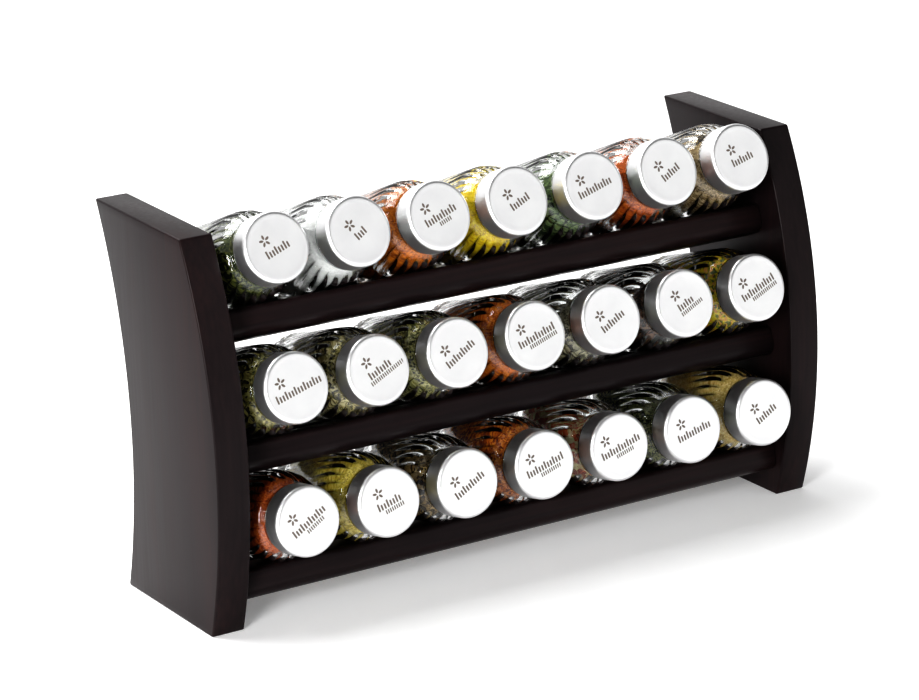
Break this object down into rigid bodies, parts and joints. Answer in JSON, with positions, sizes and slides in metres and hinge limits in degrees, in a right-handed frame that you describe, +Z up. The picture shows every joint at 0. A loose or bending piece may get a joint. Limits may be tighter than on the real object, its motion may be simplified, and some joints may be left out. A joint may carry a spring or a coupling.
{
  "type": "spice rack",
  "caption": "Free-standing wooden spice rack: curved side panels and rails hold tilted rows of removable glass jars with round screw lids.",
  "frame": {"origin": "on the floor plane under the middle of the rack's overall depth and width, lids included", "axes": "+X along the rack to the right as seen from the front, +Y towards the back, +Z up; the lids face -Y"},
  "size_m": [0.45, 0.1607, 0.2589],
  "materials": {
    "dark_wood": "satin dark brown stain",
    "clear_glass": "clear, fluted",
    "satin_metal": "satin"
  },
  "bodies": {
    "rack_frame": {"side_panel_left": "dark_wood", "side_panel_right": "dark_wood", "front_rail_top": "dark_wood", "rear_rail_top": "dark_wood", "front_rail_middle": "dark_wood", "rear_rail_middle": "dark_wood", "front_rail_bottom": "dark_wood", "rear_rail_bottom": "dark_wood"},
    "jar_top_1": {"jar_top_1": "clear_glass"},
    "lid_top_1": {"lid_top_1": "satin_metal"},
    "jar_top_2": {"jar_top_2": "clear_glass"},
    "lid_top_2": {"lid_top_2": "satin_metal"},
    "jar_top_3": {"jar_top_3": "clear_glass"},
    "lid_top_3": {"lid_top_3": "satin_metal"},
    "jar_top_4": {"jar_top_4": "clear_glass"},
    "lid_top_4": {"lid_top_4": "satin_metal"},
    "jar_top_5": {"jar_top_5": "clear_glass"},
    "lid_top_5": {"lid_top_5": "satin_metal"},
    "jar_top_6": {"jar_top_6": "clear_glass"},
    "lid_top_6": {"lid_top_6": "satin_metal"},
    "jar_top_7": {"jar_top_7": "clear_glass"},
    "lid_top_7": {"lid_top_7": "satin_metal"},
    "jar_middle_1": {"jar_middle_1": "clear_glass"},
    "lid_middle_1": {"lid_middle_1": "satin_metal"},
    "jar_middle_2": {"jar_middle_2": "clear_glass"},
    "lid_middle_2": {"lid_middle_2": "satin_metal"},
    "jar_middle_3": {"jar_middle_3": "clear_glass"},
    "lid_middle_3": {"lid_middle_3": "satin_metal"},
    "jar_middle_4": {"jar_middle_4": "clear_glass"},
    "lid_middle_4": {"lid_middle_4": "satin_metal"},
    "jar_middle_5": {"jar_middle_5": "clear_glass"},
    "lid_middle_5": {"lid_middle_5": "satin_metal"},
    "jar_middle_6": {"jar_middle_6": "clear_glass"},
    "lid_middle_6": {"lid_middle_6": "satin_metal"},
    "jar_middle_7": {"jar_middle_7": "clear_glass"},
    "lid_middle_7": {"lid_middle_7": "satin_metal"},
    "jar_bottom_1": {"jar_bottom_1": "clear_glass"},
    "lid_bottom_1": {"lid_bottom_1": "satin_metal"},
    "jar_bottom_2": {"jar_bottom_2": "clear_glass"},
    "lid_bottom_2": {"lid_bottom_2": "satin_metal"},
    "jar_bottom_3": {"jar_bottom_3": "clear_glass"},
    "lid_bottom_3": {"lid_bottom_3": "satin_metal"},
    "jar_bottom_4": {"jar_bottom_4": "clear_glass"},
    "lid_bottom_4": {"lid_bottom_4": "satin_metal"},
    "jar_bottom_5": {"jar_bottom_5": "clear_glass"},
    "lid_bottom_5": {"lid_bottom_5": "satin_metal"},
    "jar_bottom_6": {"jar_bottom_6": "clear_glass"},
    "lid_bottom_6": {"lid_bottom_6": "satin_metal"},
    "jar_bottom_7": {"jar_bottom_7": "clear_glass"},
    "lid_bottom_7": {"lid_bottom_7": "satin_metal"}
  },
  "joints": [
    {"name": "jar_top_1_slide", "type": "slide", "parent": "rack_frame", "child": "jar_top_1", "axis": [0, -0.9252, 0.3795], "range_m": [0, 0.12]},
    {"name": "jar_top_2_slide", "type": "slide", "parent": "rack_frame", "child": "jar_top_2", "axis": [0, -0.9252, 0.3795], "range_m": [0, 0.12]},
    {"name": "jar_top_3_slide", "type": "slide", "parent": "rack_frame", "child": "jar_top_3", "axis": [0, -0.9252, 0.3795], "range_m": [0, 0.12]},
    {"name": "jar_top_4_slide", "type": "slide", "parent": "rack_frame", "child": "jar_top_4", "axis": [0, -0.9252, 0.3795], "range_m": [0, 0.12]},
    {"name": "jar_top_5_slide", "type": "slide", "parent": "rack_frame", "child": "jar_top_5", "axis": [0, -0.9252, 0.3795], "range_m": [0, 0.12]},
    {"name": "jar_top_6_slide", "type": "slide", "parent": "rack_frame", "child": "jar_top_6", "axis": [0, -0.9252, 0.3795], "range_m": [0, 0.12]},
    {"name": "jar_top_7_slide", "type": "slide", "parent": "rack_frame", "child": "jar_top_7", "axis": [0, -0.9252, 0.3795], "range_m": [0, 0.12]},
    {"name": "jar_middle_1_slide", "type": "slide", "parent": "rack_frame", "child": "jar_middle_1", "axis": [0, -0.9542, 0.299], "range_m": [0, 0.12]},
    {"name": "jar_middle_2_slide", "type": "slide", "parent": "rack_frame", "child": "jar_middle_2", "axis": [0, -0.9542, 0.299], "range_m": [0, 0.12]},
    {"name": "jar_middle_3_slide", "type": "slide", "parent": "rack_frame", "child": "jar_middle_3", "axis": [0, -0.9542, 0.299], "range_m": [0, 0.12]},
    {"name": "jar_middle_4_slide", "type": "slide", "parent": "rack_frame", "child": "jar_middle_4", "axis": [0, -0.9542, 0.299], "range_m": [0, 0.12]},
    {"name": "jar_middle_5_slide", "type": "slide", "parent": "rack_frame", "child": "jar_middle_5", "axis": [0, -0.9542, 0.299], "range_m": [0, 0.12]},
    {"name": "jar_middle_6_slide", "type": "slide", "parent": "rack_frame", "child": "jar_middle_6", "axis": [0, -0.9542, 0.299], "range_m": [0, 0.12]},
    {"name": "jar_middle_7_slide", "type": "slide", "parent": "rack_frame", "child": "jar_middle_7", "axis": [0, -0.9542, 0.299], "range_m": [0, 0.12]},
    {"name": "jar_bottom_1_slide", "type": "slide", "parent": "rack_frame", "child": "jar_bottom_1", "axis": [0, -0.9796, 0.2011], "range_m": [0, 0.12]},
    {"name": "jar_bottom_2_slide", "type": "slide", "parent": "rack_frame", "child": "jar_bottom_2", "axis": [0, -0.9796, 0.2011], "range_m": [0, 0.12]},
    {"name": "jar_bottom_3_slide", "type": "slide", "parent": "rack_frame", "child": "jar_bottom_3", "axis": [0, -0.9796, 0.2011], "range_m": [0, 0.12]},
    {"name": "jar_bottom_4_slide", "type": "slide", "parent": "rack_frame", "child": "jar_bottom_4", "axis": [0, -0.9796, 0.2011], "range_m": [0, 0.12]},
    {"name": "jar_bottom_5_slide", "type": "slide", "parent": "rack_frame", "child": "jar_bottom_5", "axis": [0, -0.9796, 0.2011], "range_m": [0, 0.12]},
    {"name": "jar_bottom_6_slide", "type": "slide", "parent": "rack_frame", "child": "jar_bottom_6", "axis": [0, -0.9796, 0.2011], "range_m": [0, 0.12]},
    {"name": "jar_bottom_7_slide", "type": "slide", "parent": "rack_frame", "child": "jar_bottom_7", "axis": [0, -0.9796, 0.2011], "range_m": [0, 0.12]},
    {"name": "lid_top_1_lift", "type": "slide", "parent": "jar_top_1", "child": "lid_top_1", "axis": [0, -0.9252, 0.3795], "range_m": [0, 0.03]},
    {"name": "lid_top_2_lift", "type": "slide", "parent": "jar_top_2", "child": "lid_top_2", "axis": [0, -0.9252, 0.3795], "range_m": [0, 0.03]},
    {"name": "lid_top_3_lift", "type": "slide", "parent": "jar_top_3", "child": "lid_top_3", "axis": [0, -0.9252, 0.3795], "range_m": [0, 0.03]},
    {"name": "lid_top_4_lift", "type": "slide", "parent": "jar_top_4", "child": "lid_top_4", "axis": [0, -0.9252, 0.3795], "range_m": [0, 0.03]},
    {"name": "lid_top_5_lift", "type": "slide", "parent": "jar_top_5", "child": "lid_top_5", "axis": [0, -0.9252, 0.3795], "range_m": [0, 0.03]},
    {"name": "lid_top_6_lift", "type": "slide", "parent": "jar_top_6", "child": "lid_top_6", "axis": [0, -0.9252, 0.3795], "range_m": [0, 0.03]},
    {"name": "lid_top_7_lift", "type": "slide", "parent": "jar_top_7", "child": "lid_top_7", "axis": [0, -0.9252, 0.3795], "range_m": [0, 0.03]},
    {"name": "lid_middle_1_lift", "type": "slide", "parent": "jar_middle_1", "child": "lid_middle_1", "axis": [0, -0.9542, 0.299], "range_m": [0, 0.03]},
    {"name": "lid_middle_2_lift", "type": "slide", "parent": "jar_middle_2", "child": "lid_middle_2", "axis": [0, -0.9542, 0.299], "range_m": [0, 0.03]},
    {"name": "lid_middle_3_lift", "type": "slide", "parent": "jar_middle_3", "child": "lid_middle_3", "axis": [0, -0.9542, 0.299], "range_m": [0, 0.03]},
    {"name": "lid_middle_4_lift", "type": "slide", "parent": "jar_middle_4", "child": "lid_middle_4", "axis": [0, -0.9542, 0.299], "range_m": [0, 0.03]},
    {"name": "lid_middle_5_lift", "type": "slide", "parent": "jar_middle_5", "child": "lid_middle_5", "axis": [0, -0.9542, 0.299], "range_m": [0, 0.03]},
    {"name": "lid_middle_6_lift", "type": "slide", "parent": "jar_middle_6", "child": "lid_middle_6", "axis": [0, -0.9542, 0.299], "range_m": [0, 0.03]},
    {"name": "lid_middle_7_lift", "type": "slide", "parent": "jar_middle_7", "child": "lid_middle_7", "axis": [0, -0.9542, 0.299], "range_m": [0, 0.03]},
    {"name": "lid_bottom_1_lift", "type": "slide", "parent": "jar_bottom_1", "child": "lid_bottom_1", "axis": [0, -0.9796, 0.2011], "range_m": [0, 0.03]},
    {"name": "lid_bottom_2_lift", "type": "slide", "parent": "jar_bottom_2", "child": "lid_bottom_2", "axis": [0, -0.9796, 0.2011], "range_m": [0, 0.03]},
    {"name": "lid_bottom_3_lift", "type": "slide", "parent": "jar_bottom_3", "child": "lid_bottom_3", "axis": [0, -0.9796, 0.2011], "range_m": [0, 0.03]},
    {"name": "lid_bottom_4_lift", "type": "slide", "parent": "jar_bottom_4", "child": "lid_bottom_4", "axis": [0, -0.9796, 0.2011], "range_m": [0, 0.03]},
    {"name": "lid_bottom_5_lift", "type": "slide", "parent": "jar_bottom_5", "child": "lid_bottom_5", "axis": [0, -0.9796, 0.2011], "range_m": [0, 0.03]},
    {"name": "lid_bottom_6_lift", "type": "slide", "parent": "jar_bottom_6", "child": "lid_bottom_6", "axis": [0, -0.9796, 0.2011], "range_m": [0, 0.03]},
    {"name": "lid_bottom_7_lift", "type": "slide", "parent": "jar_bottom_7", "child": "lid_bottom_7", "axis": [0, -0.9796, 0.2011], "range_m": [0, 0.03]}
  ]
}
